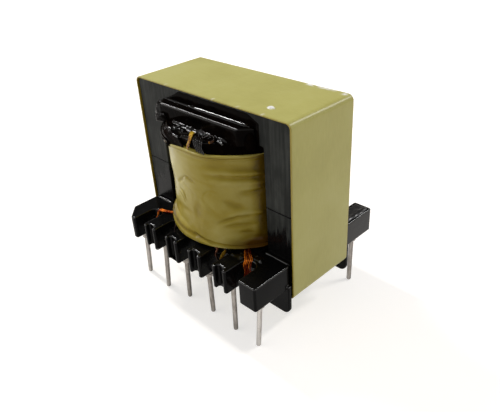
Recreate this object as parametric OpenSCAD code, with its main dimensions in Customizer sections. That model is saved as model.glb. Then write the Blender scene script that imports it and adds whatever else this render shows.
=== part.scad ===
// Ferrite transformer: a taped pair of E-cores on a vertical pin bobbin with a tape-wrapped coil.
// Millimetres. The origin is under the centre of the part at the pin tips; the front is at -Y.

/* [Core] */
// Width of the ferrite core across both outer legs
core_width = 33; // [31:0.1:37]
// Depth of the core, front to back
core_depth = 12.7; // [11:0.1:14]
// Height of one core half
core_half_height = 14.1; // [12.5:0.1:17]
// Width of each outer leg
outer_leg = 5.1; // [4.2:0.1:5.8]
// Width of the centre leg
centre_leg = 9.7; // [8.5:0.1:10.6]
// Thickness of the yoke that joins the three legs
yoke = 4.6; // [3.6:0.1:5.6]
// Radius of the outer corners of the core
core_corner = 1; // [0.4:0.1:2]
// Air gap ground into the two centre legs together
air_gap = 0.5; // [0.1:0.05:1.5]

/* [Core tape] */
// Thickness of the tape loop
tape_thickness = 0.25; // [0.1:0.05:0.4]
// How far the tape stands past the front and back faces of the core
tape_overhang = 0.35; // [0:0.05:0.6]
// Length of the lapped end under the core
tape_lap = 9; // [4:0.5:14]
// Thickness of the lapped end
tape_lap_thickness = 0.08; // [0.05:0.01:0.15]

/* [Bobbin tube and flanges] */
// Play between the centre leg and the tube
tube_clearance = 0.15; // [0.05:0.05:0.3]
// Wall of the tube
tube_wall = 0.9; // [0.7:0.05:1.2]
// Outer corner radius of the tube
tube_corner = 1.4; // [1:0.1:1.8]
// Play between the flanges and the core yokes
axial_clearance = 0.15; // [0.05:0.05:0.4]
// Thickness of the lower flange
lower_flange = 1.45; // [1:0.05:2]
// Thickness of the upper flange
upper_flange = 1.2; // [0.8:0.05:1.6]
// Play between the flanges and the outer legs
flange_leg_gap = 0.8; // [0.2:0.1:1.2]
// Reach of the upper flange from the centre to its front edge
flange_reach = 11; // [10:0.1:11.4]
// Half length of the straight front edge of the upper flange
flange_front_half = 3.6; // [2:0.1:5]
// Half depth at which the sloped edges of the upper flange start
flange_shoulder = 5.4; // [4:0.1:6.2]
// Height of the collars above the upper flange
collar_height = 2.65; // [1.5:0.05:4]
// Thickness of the collars
collar_thickness = 1.8; // [1:0.1:2.2]
// Half length of the front face of each collar
collar_half = 8.4; // [6:0.1:9]
// Play between the collars and the core
collar_clearance = 0.1; // [0.05:0.05:0.3]

/* [Pin rails] */
// Distance from pin to pin along a row
pin_pitch = 5.7; // [5.4:0.05:6]
// Distance between the two rows of pins
pin_row_spacing = 22.8; // [22:0.1:25]
// Distance from a row of pins to the outer face of its rail
pin_to_face = 2.7; // [2.2:0.1:3.5]
// Distance from the end pins to the end faces of the rails
pin_to_end = 1.85; // [1.6:0.05:2.2]
// Height of the rails
rail_height = 4.2; // [3.5:0.1:5]
// Width of one tooth
tooth_width = 3; // [2.6:0.1:3.4]
// Depth of the teeth behind the pins
tooth_behind_pin = 2.2; // [1.4:0.1:2.4]
// Length of the slots between the teeth
slot_length = 4.6; // [4.2:0.1:5]
// Width of the groove in the face of each tooth
groove_width = 1.6; // [1:0.1:1.8]
// Depth of the groove in the face of each tooth
groove_depth = 0.8; // [0.4:0.1:1.2]
// Rounding of the tooth corners
tooth_rounding = 0.35; // [0.2:0.05:0.4]
// Size of the cut corner that marks the first pin
corner_cut = 2.4; // [1:0.1:2.6]
// Play between the rails and the edge of the core tape
rail_clearance = 0.05; // [0.05:0.05:0.3]
// Thickness of the skirts and feet
skirt_thickness = 0.7; // [0.5:0.05:1]
// Width of each foot
foot_width = 6.5; // [4:0.1:9]
// How far the feet stand past the rail ends
foot_lip = 0.4; // [0:0.1:0.6]
// Radius of the lower corners of the feet
foot_radius = 1.2; // [0.4:0.1:1.8]
// Height of the core tape above the seating plane
core_standoff = 2.45; // [1.5:0.05:4]

/* [Pins] */
// Diameter of the pins
pin_diameter = 0.8; // [0.6:0.05:1]
// Length of the pins below the seating plane
pin_below_seat = 5.4; // [3:0.1:7]
// How much thicker the pressed-in end of a pin is, on its radius
pin_press = 0.05; // [0.02:0.01:0.1]
// Length of the pins inside the rails
pin_embed = 3.2; // [2.4:0.1:3.4]
// Length of the pointed pin tips
pin_point = 0.25; // [0.1:0.05:0.4]

/* [Coil] */
// Outer radius of the wrapped coil at front and back
coil_radius = 12.2; // [11.8:0.1:12.8]
// Gap between the wrapped coil and the outer legs
coil_leg_gap = 0.45; // [0.2:0.05:0.7]
// Bare margin between the coil and the lower flange
coil_margin = 0.45; // [0.42:0.01:0.8]
// Thickness of the tape wrapped round the coil
wrap_thickness = 0.25; // [0.1:0.05:0.4]
// How far the wrap is drawn in between its two rims
wrap_waist = 0.45; // [0.2:0.05:0.6]
// Height of the lower rim of the wrap
wrap_rim_low = 1.1; // [0.6:0.1:2]
// Height of the upper rim of the wrap
wrap_rim_high = 0.5; // [0.3:0.1:1.2]
// Height over which each rim slopes in to the waist
wrap_slope = 0.5; // [0.2:0.1:1]
// Build of the inner primary winding
primary_inner_build = 1.3; // [0.8:0.1:1.6]
// Build of the secondary winding
secondary_build = 1.3; // [0.8:0.1:1.6]
// Thickness of each insulation layer
insulation = 0.2; // [0.1:0.05:0.3]
// Least build of the outer primary winding, at the corners of the layers inside it
primary_outer_least = 0.2; // [0.1:0.05:0.3]

/* [Leads] */
// Diameter of the primary wire
wire_diameter = 0.4; // [0.3:0.02:0.4]
// Diameter of one strand of the bunched secondary wire
strand_diameter = 0.32; // [0.24:0.02:0.34]
// Clear gap between neighbouring strands
strand_gap = 0.06; // [0.04:0.01:0.1]
// Radius of the soldered wraps
solder_radius = 0.95; // [0.85:0.05:1.05]
// Height of the soldered wraps
solder_height = 2.1; // [2.1:0.05:2.6]
// Width of the loose tape strips
tab_width = 0.8; // [0.5:0.05:1]
// Thickness of the loose tape strips
tab_thickness = 0.12; // [0.08:0.01:0.2]

/* [Hidden] */

$fn = 64;
eps = 0.01;
pins_per_row = 6;
wire_sides = 8;
wire_steps = 3;

// Colours
ferrite_grey = [0.2, 0.2, 0.19];
tape_yellow = [0.78, 0.74, 0.44];
phenolic_black = [0.06, 0.06, 0.065];
copper_orange = [0.72, 0.4, 0.2];
varnished_copper = [0.2, 0.12, 0.08];
insulation_amber = [0.82, 0.66, 0.25];
tin_grey = [0.62, 0.6, 0.58];

// Heights from the pin tips up
seat_z = pin_below_seat;
tape_low_z = seat_z + core_standoff;
core_low_z = tape_low_z + tape_thickness;
mid_z = core_low_z + core_half_height;
core_high_z = mid_z + core_half_height;
window_low_z = core_low_z + yoke;
window_high_z = core_high_z - yoke;
flange_low_z = window_low_z + axial_clearance;
deck_z = flange_low_z + lower_flange;
ledge_z = window_high_z - axial_clearance;
flange_z = ledge_z - upper_flange;
collar_z = ledge_z + collar_height;
rail_low_z = deck_z - rail_height;
coil_low_z = deck_z + coil_margin;

// Plan sizes of the core and the tube
window_half = core_width / 2 - outer_leg;
tape_half_depth = core_depth / 2 + tape_overhang;
hole_half = [centre_leg / 2 + tube_clearance, core_depth / 2 + tube_clearance];
tube_half = hole_half + [tube_wall, tube_wall];

// Plan sizes of the flanges and rails
flange_half = window_half - flange_leg_gap;
collar_back = core_depth / 2 + collar_clearance;
collar_front = collar_back + collar_thickness;
rail_inner = tape_half_depth + rail_clearance;
skirt_outer = rail_inner + skirt_thickness;
pin_y = pin_row_spacing / 2;
rail_face = pin_y + pin_to_face;
tooth_back = pin_y - tooth_behind_pin;
shank_diameter = pin_diameter + 2 * pin_press;
foot_outer = core_width / 2;
rail_half = foot_outer - foot_lip;
row_half = rail_half - pin_to_end;
slot_width = pin_pitch - tooth_width;
slot_end = rail_face - slot_length;
ledge = flange_reach - collar_front;

// Corner radius that keeps a rounded rectangle touching a circle from inside
function corner_in_circle(half, radius) =
    let (over = half[0] + half[1] - radius)
    over - sqrt(over * over - half * half + radius * radius);

// Coil layers from the tube out: half width, half depth and corner radius
inner_build = primary_inner_build + 2 * insulation + secondary_build;
inner_radius = coil_radius - wrap_waist - wrap_thickness - primary_outer_least;
inner_corner = corner_in_circle(tube_half + [inner_build, inner_build], inner_radius);
corner_growth = (inner_corner - tube_corner) / inner_build;
function grown(build) = [tube_half[0] + build, tube_half[1] + build, tube_corner + corner_growth * build];
layer_0 = grown(0);
layer_1 = grown(primary_inner_build);
layer_2 = grown(primary_inner_build + insulation);
layer_3 = grown(primary_inner_build + insulation + secondary_build);
layer_4 = grown(inner_build);
coil_half = window_half - coil_leg_gap;

// Place i in a row, from 0: each half of the row is pitched inward from its end pin
function row_x(i) =
    i < pins_per_row / 2 ? i * pin_pitch - row_half : row_half - (pins_per_row - 1 - i) * pin_pitch;

// Position of pin k: 1 to 6 along the front from the left, 7 to 12 along the back from the right
function pin_x(k) = k <= pins_per_row ? row_x(k - 1) : -row_x(k - 1 - pins_per_row);
function pin_side(k) = k <= pins_per_row ? -1 : 1;

// Smooth path through points, and the vectors that carry a round section along it
function unit(v) = v / norm(v);
function between(a, b, c, d, t) =
    0.5 * (2 * b + (c - a) * t + (2 * a - 5 * b + 4 * c - d) * t * t + (3 * b - a - 3 * c + d) * t * t * t);
function smooth(p) =
    let (last = len(p) - 1)
    concat(
        [for (i = [0 : last - 1], k = [0 : wire_steps - 1])
            between(p[max(i - 1, 0)], p[i], p[i + 1], p[min(i + 2, last)], k / wire_steps)],
        [p[last]]);
function tangents(p) = [for (i = [0 : len(p) - 1]) unit(p[min(i + 1, len(p) - 1)] - p[max(i - 1, 0)])];
function square_to(n, t) = unit(n - t * (n * t));
function carried(t, n, i = 0) =
    i == len(t) ? [] : let (m = square_to(n, t[i])) concat([m], carried(t, m, i + 1));

module sweep(path, radius, up) {
    p = smooth(path);
    t = tangents(p);
    n = carried(t, up);
    count = len(p);
    points = [for (i = [0 : count - 1], k = [0 : wire_sides - 1])
        p[i] + radius * (cos(360 * k / wire_sides) * n[i] + sin(360 * k / wire_sides) * cross(t[i], n[i]))];
    walls = [for (i = [0 : count - 2], k = [0 : wire_sides - 1])
        let (j = (k + 1) % wire_sides)
        [i * wire_sides + k, (i + 1) * wire_sides + k, (i + 1) * wire_sides + j, i * wire_sides + j]];
    first_cap = [[for (k = [0 : wire_sides - 1]) k]];
    last_cap = [[for (k = [0 : wire_sides - 1]) count * wire_sides - 1 - k]];
    polyhedron(points = points, faces = concat(first_cap, walls, last_cap), convexity = 6);
}

module rounded_rect(half_x, half_y, radius) {
    square([2 * half_x, 2 * (half_y - radius)], center = true);
    square([2 * (half_x - radius), 2 * half_y], center = true);
    for (x = [-1, 1], y = [-1, 1])
        translate([x * (half_x - radius), y * (half_y - radius)])
            circle(radius);
}

// Extrudes a front-view outline through a depth, centred on the core
module front_extrude(depth) {
    translate([0, depth / 2, 0])
        rotate([90, 0, 0])
            linear_extrude(height = depth)
                children();
}

// Front view of one core half, the yoke below and the mating faces at zero height
module core_outline() {
    difference() {
        union() {
            translate([-core_width / 2, -core_half_height + core_corner])
                square([core_width, core_half_height - core_corner]);
            translate([-core_width / 2 + core_corner, -core_half_height])
                square([core_width - 2 * core_corner, core_corner + eps]);
            for (x = [-1, 1])
                translate([x * (core_width / 2 - core_corner), -core_half_height + core_corner])
                    circle(core_corner);
        }
        for (x = [-1, 1])
            translate([x * (window_half + centre_leg / 2) / 2, 0])
                square([window_half - centre_leg / 2, 2 * (core_half_height - yoke)], center = true);
        square([centre_leg + 2 * eps, air_gap], center = true);
    }
}

module core_lower() {
    color(ferrite_grey)
        translate([0, 0, mid_z])
            front_extrude(core_depth)
                core_outline();
}

module core_upper() {
    color(ferrite_grey)
        translate([0, 0, mid_z])
            front_extrude(core_depth)
                mirror([0, 1])
                    core_outline();
}

module core_tape() {
    color(tape_yellow) {
        translate([0, 0, mid_z])
            front_extrude(2 * tape_half_depth)
                difference() {
                    rounded_rect(core_width / 2 + tape_thickness, core_half_height + tape_thickness,
                        core_corner + tape_thickness);
                    rounded_rect(core_width / 2, core_half_height, core_corner);
                }
        translate([-tape_lap / 2, -tape_half_depth, tape_low_z - tape_lap_thickness])
            cube([tape_lap, 2 * tape_half_depth, tape_lap_thickness + tape_thickness / 2]);
    }
}

// Plan of the upper flange
module flange_plan() {
    polygon([
        [-flange_front_half, -flange_reach], [flange_front_half, -flange_reach],
        [flange_half, -flange_shoulder], [flange_half, flange_shoulder],
        [flange_front_half, flange_reach], [-flange_front_half, flange_reach],
        [-flange_half, flange_shoulder], [-flange_half, -flange_shoulder]
    ]);
}

// Plan of the collar in front of the upper yoke
module collar_plan() {
    polygon([
        [-collar_half, -collar_front], [collar_half, -collar_front],
        [collar_half + collar_thickness, -collar_back], [-collar_half - collar_thickness, -collar_back]
    ]);
}

// Plan of one tooth, its grooved face at zero and its back end given
module tooth_plan(back) {
    groove_rounding = min(tooth_rounding, groove_width / 2 - eps, groove_depth / 2);
    difference() {
        union() {
            translate([-tooth_width / 2, tooth_rounding])
                square([tooth_width, back - tooth_rounding]);
            translate([-tooth_width / 2 + tooth_rounding, 0])
                square([tooth_width - 2 * tooth_rounding, tooth_rounding + eps]);
            for (x = [-1, 1])
                translate([x * (tooth_width / 2 - tooth_rounding), tooth_rounding])
                    circle(tooth_rounding);
        }
        translate([-groove_width / 2, -eps])
            square([groove_width, groove_depth - groove_rounding + eps]);
        translate([-groove_width / 2 + groove_rounding, -eps])
            square([groove_width - 2 * groove_rounding, groove_depth + eps]);
        for (x = [-1, 1])
            translate([x * (groove_width / 2 - groove_rounding), groove_depth - groove_rounding])
                circle(groove_rounding);
    }
}

// Plan of one end block, drawn for the right end
module end_block_plan() {
    inner = row_half - tooth_width / 2;
    width = rail_half - inner;
    translate([inner, -rail_face + tooth_rounding])
        square([width, rail_face - tooth_rounding - rail_inner]);
    translate([inner + tooth_rounding, -rail_face])
        square([width - 2 * tooth_rounding, tooth_rounding + eps]);
    for (x = [inner + tooth_rounding, rail_half - tooth_rounding])
        translate([x, -rail_face + tooth_rounding])
            circle(tooth_rounding);
}

// Plan of the full-height parts of the front rail
module rail_plan() {
    for (k = [2 : pins_per_row - 1])
        translate([pin_x(k), -rail_face])
            tooth_plan(rail_face - tooth_back);
    end_block_plan();
    mirror([1, 0])
        end_block_plan();
}

// Plan of the deck that joins the teeth of the front rail to the lower flange
module deck_plan() {
    difference() {
        translate([-rail_half + eps, -slot_end - slot_width / 2])
            square([2 * (rail_half - eps), slot_end + slot_width / 2 - rail_inner]);
        for (k = [1 : pins_per_row - 1])
            slot_plan((pin_x(k) + pin_x(k + 1)) / 2);
    }
}

module slot_plan(x) {
    translate([x, -slot_end - slot_width / 2])
        circle(slot_width / 2);
    translate([x - slot_width / 2, -rail_face - eps])
        square([slot_width, rail_face + eps - slot_end - slot_width / 2]);
}

// Front view of one foot, drawn for the right end
module foot_outline() {
    top = rail_low_z + skirt_thickness;
    translate([foot_outer - foot_width, seat_z + foot_radius])
        square([foot_width, top - seat_z - foot_radius]);
    translate([foot_outer - foot_width + foot_radius, seat_z])
        square([foot_width - 2 * foot_radius, foot_radius + eps]);
    for (x = [foot_outer - foot_width + foot_radius, foot_outer - foot_radius])
        translate([x, seat_z + foot_radius])
            circle(foot_radius);
}

// One rail with its skirt and feet, drawn for the front
module rail(cut) {
    difference() {
        union() {
            translate([0, 0, rail_low_z])
                linear_extrude(height = rail_height)
                    rail_plan();
            translate([0, 0, flange_low_z])
                linear_extrude(height = lower_flange)
                    deck_plan();
            translate([-rail_half, -skirt_outer, rail_low_z])
                cube([2 * rail_half, skirt_thickness, rail_height]);
            translate([0, -(rail_inner + skirt_outer) / 2, 0])
                front_extrude(skirt_thickness) {
                    foot_outline();
                    mirror([1, 0])
                        foot_outline();
                }
        }
        for (k = [1 : pins_per_row])
            translate([pin_x(k), -pin_y, rail_low_z - eps])
                cylinder(d = shank_diameter, h = pin_embed + eps);
        if (cut)
            translate([-rail_half, -rail_face, rail_low_z - eps])
                rotate([0, 0, 45])
                    translate([-corner_cut, -2 * corner_cut, 0])
                        cube([corner_cut + corner_cut / sqrt(2), 4 * corner_cut, rail_height + 2 * eps]);
    }
}

module bobbin() {
    color(phenolic_black)
        difference() {
            union() {
                translate([0, 0, flange_low_z])
                    linear_extrude(height = ledge_z - flange_low_z)
                        rounded_rect(layer_0[0], layer_0[1], layer_0[2]);
                translate([-flange_half, -rail_inner - eps, flange_low_z])
                    cube([2 * flange_half, 2 * (rail_inner + eps), lower_flange]);
                translate([0, 0, flange_z])
                    linear_extrude(height = upper_flange)
                        flange_plan();
                for (turn = [0, 180])
                    rotate([0, 0, turn])
                        translate([0, 0, ledge_z - eps])
                            linear_extrude(height = collar_height + eps)
                                collar_plan();
                rail(true);
                rotate([0, 0, 180])
                    rail(false);
            }
            translate([-hole_half[0], -hole_half[1], flange_low_z - 1])
                cube([2 * hole_half[0], 2 * hole_half[1], ledge_z - flange_low_z + 2]);
        }
}

// Pointed free end, and a thicker end that is pressed into the rail and carries the soldered wrap
module pin(k) {
    shoulder = rail_low_z - solder_height;
    color(tin_grey)
        translate([pin_x(k), pin_side(k) * pin_y, 0]) {
            cylinder(d1 = pin_diameter / 2, d2 = pin_diameter, h = pin_point);
            translate([0, 0, pin_point])
                cylinder(d = pin_diameter, h = shoulder - pin_point);
            translate([0, 0, shoulder])
                cylinder(d = shank_diameter, h = solder_height + pin_embed);
        }
}

// One layer of the coil between two rounded outlines
module coil_layer(inner, outer) {
    translate([0, 0, coil_low_z])
        linear_extrude(height = flange_z - coil_low_z)
            difference() {
                rounded_rect(outer[0], outer[1], outer[2]);
                rounded_rect(inner[0], inner[1], inner[2]);
            }
}

// Plan of the outer winding at the waist of the wrap, flattened where the outer legs stand
module waist_plan() {
    intersection() {
        circle(coil_radius - wrap_waist - wrap_thickness, $fn = 128);
        square([2 * (coil_half - wrap_thickness), 4 * coil_radius], center = true);
    }
}

// Outside of the wrap, revolved: two rims that slope in to a waist
module wrap_body() {
    low = wrap_rim_low;
    high = flange_z - coil_low_z - wrap_rim_high;
    waist = coil_radius - wrap_waist;
    translate([0, 0, coil_low_z])
        rotate_extrude($fn = 128)
            polygon([
                [0, 0], [coil_radius, 0],
                [coil_radius, low], [waist, low + wrap_slope],
                [waist, high - wrap_slope], [coil_radius, high],
                [coil_radius, high + wrap_rim_high], [0, high + wrap_rim_high]
            ]);
}

module primary_inner() {
    color(copper_orange)
        coil_layer(layer_0, layer_1);
}

module insulation_inner() {
    color(insulation_amber)
        coil_layer(layer_1, layer_2);
}

module secondary_winding() {
    color(copper_orange)
        coil_layer(layer_2, layer_3);
}

module insulation_outer() {
    color(insulation_amber)
        coil_layer(layer_3, layer_4);
}

module primary_outer() {
    color(copper_orange)
        translate([0, 0, coil_low_z])
            linear_extrude(height = flange_z - wrap_thickness - coil_low_z)
                difference() {
                    waist_plan();
                    rounded_rect(layer_4[0], layer_4[1], layer_4[2]);
                }
}

// Tape round the coil, its upper edge folded in over the outer winding
module outer_wrap() {
    color(tape_yellow)
        difference() {
            intersection() {
                wrap_body();
                translate([-coil_half, -2 * coil_radius, coil_low_z])
                    cube([2 * coil_half, 4 * coil_radius, flange_z - coil_low_z]);
            }
            translate([0, 0, coil_low_z - 1])
                linear_extrude(height = flange_z - wrap_thickness - coil_low_z + 1)
                    waist_plan();
            translate([0, 0, coil_low_z])
                linear_extrude(height = flange_z - coil_low_z + 1)
                    rounded_rect(layer_4[0], layer_4[1], layer_4[2]);
        }
}

// Wire ends that run from under the coil at an angle, through the slot after front pin s, to front pin k
module front_lead(s, k, angle, strands, diameter) {
    slot_x = (pin_x(s) + pin_x(s + 1)) / 2;
    toward = sign(pin_x(k) - slot_x);
    radius = diameter / 2;
    step = diameter + strand_gap;
    start = (coil_radius - wrap_thickness - diameter) * [sin(angle), -cos(angle)];
    entry = [slot_x, -slot_end - slot_width / 2];
    run = unit(entry - start);
    across = [abs(run[1]), run[0] * sign(-run[1])];
    turning = unit(across + [1, 0]);
    lie_z = deck_z + radius;
    end_x = pin_x(k) - toward * (solder_radius + eps);
    for (i = [0 : strands - 1]) {
        shift = (i - (strands - 1) / 2) * step;
        rank = toward > 0 ? strands - 1 - i : i;
        turn_z = rail_low_z - radius - 0.05 - rank * step;
        a = start + shift * across;
        b = start + 0.55 * (entry - start) + shift * across;
        c = entry + shift * turning;
        drop_x = slot_x + shift;
        sweep([
            [a[0], a[1], lie_z],
            [b[0], b[1], lie_z],
            [c[0], c[1], lie_z - 0.06],
            [drop_x, -pin_y + 0.1, deck_z - 0.9],
            [drop_x, -pin_y, (deck_z + rail_low_z) / 2],
            [drop_x, -pin_y, turn_z + 0.5],
            [drop_x + toward * 0.12, -pin_y, turn_z + 0.1],
            [drop_x + toward * 0.5, -pin_y, turn_z],
            [end_x, -pin_y, turn_z]
        ], radius, [0, 0, 1]);
    }
}

module back_lead(s, k, angle, strands, diameter) {
    rotate([0, 0, 180])
        front_lead(s, k, angle, strands, diameter);
}

module lead_1() {
    color(copper_orange)
        front_lead(1, 1, -43, 2, wire_diameter);
}

module lead_3() {
    color(varnished_copper)
        front_lead(2, 3, -29.5, 1, wire_diameter);
}

module lead_4() {
    color(varnished_copper)
        front_lead(4, 4, 28, 1, wire_diameter);
}

module lead_6() {
    color(copper_orange)
        front_lead(5, 6, 46, 5, strand_diameter);
}

module lead_7() {
    color(copper_orange)
        back_lead(1, 1, -46, 5, strand_diameter);
}

module lead_9() {
    color(copper_orange)
        back_lead(2, 3, -29, 5, strand_diameter);
}

module lead_10() {
    color(varnished_copper)
        back_lead(4, 4, 28, 1, wire_diameter);
}

module lead_12() {
    color(copper_orange)
        back_lead(5, 6, 43, 2, wire_diameter);
}

// Soldered wire wrap: stacked turns round a pin
module solder_wrap() {
    turns = 4;
    turn_height = solder_height / turns;
    rotate_extrude()
        difference() {
            union() {
                translate([0, -solder_height])
                    square([solder_radius - turn_height / 2, solder_height]);
                for (i = [0 : turns - 1])
                    translate([solder_radius - turn_height / 2, -(i + 0.5) * turn_height])
                        circle(turn_height / 2, $fn = 24);
            }
            translate([-solder_radius, -solder_height - eps])
                square([solder_radius + shank_diameter / 2, solder_height + 2 * eps]);
        }
}

module solder_joints() {
    color(tin_grey)
        for (k = [1, 3, 4, 6, 7, 9, 10, 12])
            translate([pin_x(k), pin_side(k) * pin_y, rail_low_z])
                solder_wrap();
}

// Points on the edge of the upper flange, at a share of its half front edge or of the ledge on the left slope
slope = [flange_front_half - flange_half, flange_reach - flange_shoulder];
function front_edge(share) = [share * flange_front_half, -flange_reach];
function left_edge(share) = [-flange_front_half, -flange_reach] + share * ledge / slope[1] * slope;
front_out = [0, -1];
left_out = unit([-slope[1], slope[0]]);

function at(plan, z) = [plan[0], plan[1], z];

// Climb from the coil over an edge of the upper flange, from below to the ledge
function climb(edge, out, radius) = [
    at(edge + out * (radius + 0.06), flange_z + 0.02),
    at(edge + out * (radius + eps), flange_z + upper_flange / 2),
    at(edge + out * (radius + 0.03), ledge_z + 0.02),
    at(edge - out * 0.08, ledge_z + radius + 0.06),
    at(edge - out * 0.2 * ledge, ledge_z + radius)
];

function reversed(list) = [for (i = [len(list) - 1 : -1 : 0]) list[i]];

// Wire that climbs over one edge, lies along the ledge at a share of its depth, and goes down over the front
module ledge_wire(edge, out, down, depth, diameter) {
    radius = diameter / 2;
    lie_y = -flange_reach + depth * ledge;
    over = down - [2 * diameter, 0];
    sweep(concat(
        climb(edge, out, radius),
        [[(edge[0] + down[0]) / 2, lie_y, ledge_z + radius], [over[0], lie_y, ledge_z + radius]],
        reversed(climb(down, front_out, radius))
    ), radius, [1, 0, 0]);
}

module link_wire_1() {
    color(varnished_copper)
        ledge_wire(left_edge(0.61), left_out, front_edge(0.92), 0.72, wire_diameter);
}

module link_wire_2() {
    color(varnished_copper)
        ledge_wire(left_edge(0.2), left_out, front_edge(0.68), 0.46, wire_diameter);
}

module link_wire_3() {
    color(varnished_copper)
        ledge_wire(front_edge(-0.78), front_out, front_edge(0.06), 0.24, strand_diameter);
}

// Tape strip folded over the front edge of the upper flange
module tape_tab() {
    low = flange_z + 0.2;
    x = front_edge(0.36)[0] - tab_width / 2;
    color(insulation_amber) {
        translate([x, -flange_reach - tab_thickness, low])
            cube([tab_width, tab_thickness, ledge_z + tab_thickness - low]);
        translate([x, -flange_reach - tab_thickness, ledge_z])
            cube([tab_width, 0.25 * ledge + tab_thickness, tab_thickness]);
    }
}

// Tape strip that hangs into the fourth slot beside its lead
module slot_tab() {
    slot_x = (pin_x(4) + pin_x(5)) / 2;
    color(insulation_amber)
        translate([slot_x + slot_width / 2 - tab_thickness, -pin_y - 1.2, deck_z - 2])
            cube([tab_thickness, 1.6, 2]);
}

core_upper();
core_lower();
core_tape();
bobbin();
primary_inner();
insulation_inner();
secondary_winding();
insulation_outer();
primary_outer();
outer_wrap();
pin(1);  // pin_1
pin(2);  // pin_2
pin(3);  // pin_3
pin(4);  // pin_4
pin(5);  // pin_5
pin(6);  // pin_6
pin(7);  // pin_7
pin(8);  // pin_8
pin(9);  // pin_9
pin(10);  // pin_10
pin(11);  // pin_11
pin(12);  // pin_12
lead_1();
lead_3();
lead_4();
lead_6();
lead_7();
lead_9();
lead_10();
lead_12();
solder_joints();
link_wire_1();
link_wire_2();
link_wire_3();
tape_tab();
slot_tab();
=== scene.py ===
import random
from functools import partialmethod
from math import copysign, cos, hypot, pi, radians, sin, tan

import bmesh
import bpy
import numpy as np
from mathutils import Matrix, Vector, noise
from mathutils.bvhtree import BVHTree


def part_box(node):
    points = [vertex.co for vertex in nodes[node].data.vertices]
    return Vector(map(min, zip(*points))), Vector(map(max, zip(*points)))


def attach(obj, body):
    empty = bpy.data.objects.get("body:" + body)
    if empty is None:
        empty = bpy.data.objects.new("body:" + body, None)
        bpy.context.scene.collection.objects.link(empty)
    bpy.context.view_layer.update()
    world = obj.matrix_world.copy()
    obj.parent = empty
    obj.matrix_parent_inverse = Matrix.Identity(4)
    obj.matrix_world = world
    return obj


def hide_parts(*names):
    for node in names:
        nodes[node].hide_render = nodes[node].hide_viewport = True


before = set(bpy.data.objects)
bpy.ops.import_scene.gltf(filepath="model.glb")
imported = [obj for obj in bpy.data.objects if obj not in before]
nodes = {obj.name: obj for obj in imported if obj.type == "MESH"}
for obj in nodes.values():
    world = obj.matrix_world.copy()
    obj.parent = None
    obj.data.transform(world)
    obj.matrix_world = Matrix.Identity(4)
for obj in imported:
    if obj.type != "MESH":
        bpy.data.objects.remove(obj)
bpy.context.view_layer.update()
scene = bpy.context.scene
rng = random.Random(11)
MM = 0.001


# ---- sizes in millimetres

def box_mm(node):
    lo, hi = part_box(node)
    return lo / MM, hi / MM


def middle(node):
    lo, hi = box_mm(node)
    return (lo + hi) / 2


wrap_lo, wrap_hi = box_mm("outer_wrap")
COIL_R, COIL_X, COIL_LOW, COIL_HIGH = wrap_hi.y, wrap_hi.x, wrap_lo.z, wrap_hi.z
tape_hi, core_hi = box_mm("core_tape")[1], box_mm("core_upper")[1]
core_lo, lower_hi = box_mm("core_lower")
JOINT = lower_hi.z  # where the two halves of the core meet
COLLAR_TOP = box_mm("bobbin")[1].z
DECK = box_mm("slot_tab")[1].z  # top of the pin rails
RAIL_LOW = box_mm("solder_joints")[1].z
FRONT_PINS = [middle("pin_%d" % k) for k in range(1, 7)]
PIN_Y = -FRONT_PINS[0].y

# Sizes of part.scad that no node's box gives
LEDGE = 31.55  # top of the upper flange
FLANGE_REACH, FLANGE_FRONT, FLANGE_SIDE, FLANGE_SHOULDER = 11, 3.6, 10.6, 5.4
COLLAR_BACK, COLLAR_FRONT = 6.45, 8.25


# ---- formulas and small helpers

def ease(a, b, x):
    """A smooth step from 0 at a to 1 at b."""
    t = np.clip((np.asarray(x, float) - a) / (b - a), 0, 1)
    return t * t * (3 - 2 * t)


def runs(*spans):
    """Several runs of equal steps, each from its first value to its last."""
    return np.concatenate([np.linspace(*span) for span in spans])


def hump(x, centre, width):
    return np.exp(-((x - centre) / width) ** 2)


def wander(x, y, z=0):
    """Smooth noise from -1 to 1 at a point."""
    return noise.noise(Vector((x, y, z)))


def configure(thing, **settings):
    for key, value in settings.items():
        setattr(thing, key, value)
    return thing


def placed(name, data):
    """A new object in the scene."""
    obj = bpy.data.objects.new(name, data)
    scene.collection.objects.link(obj)
    return obj


# ---- materials


class Value:
    """An output in a node tree, which adds, subtracts and multiplies as a number does."""

    def __init__(self, node, output=0):
        self.tree, self.socket = node.id_data, node.outputs[output]

    def math(self, operation, *others):
        return Value(add(self.tree, "Math", dict(enumerate((self, *others))), operation=operation))

    __add__ = partialmethod(math, "ADD")
    __sub__ = partialmethod(math, "SUBTRACT")
    __mul__ = partialmethod(math, "MULTIPLY")
    __abs__ = partialmethod(math, "ABSOLUTE")
    at_least = partialmethod(math, "MAXIMUM")

    def clamped(self):
        self.socket.node.use_clamp = True
        return self


def add(tree, kind, inputs=None, **settings):
    node = configure(tree.nodes.new("ShaderNode" + kind), **settings)
    for key, value in (inputs or {}).items():
        if isinstance(value, Value):
            tree.links.new(value.socket, node.inputs[key])
        else:
            node.inputs[key].default_value = value
    return node


def mix(factor, a, b):
    """From a Value's colour to colour b. 6 and 7 are the Mix node's colour inputs, and 2 is its colour output."""
    return Value(add(factor.tree, "Mix", {0: factor, 6: a, 7: (*b, 1)}, data_type="RGBA"), 2)


def ramp(factor, *stops):
    """Colours or greys at stops, and between them."""
    node = add(factor.tree, "ValToRGB", {0: factor})
    elements = node.color_ramp.elements
    while len(elements) < len(stops):
        elements.new(0.5)
    for element, (position, colour) in zip(elements, stops):
        element.position = position
        element.color = (*np.broadcast_to(colour, 3), 1)
    return Value(node)


def place(tree, scale=1):
    """Position on the part, in millimetres times one scale or one for each axis."""
    coords = Value(add(tree, "TexCoord"), "Object")
    return Value(add(tree, "Mapping", {"Vector": coords, "Scale": tuple(np.broadcast_to(scale, 3) / MM)}))


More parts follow.
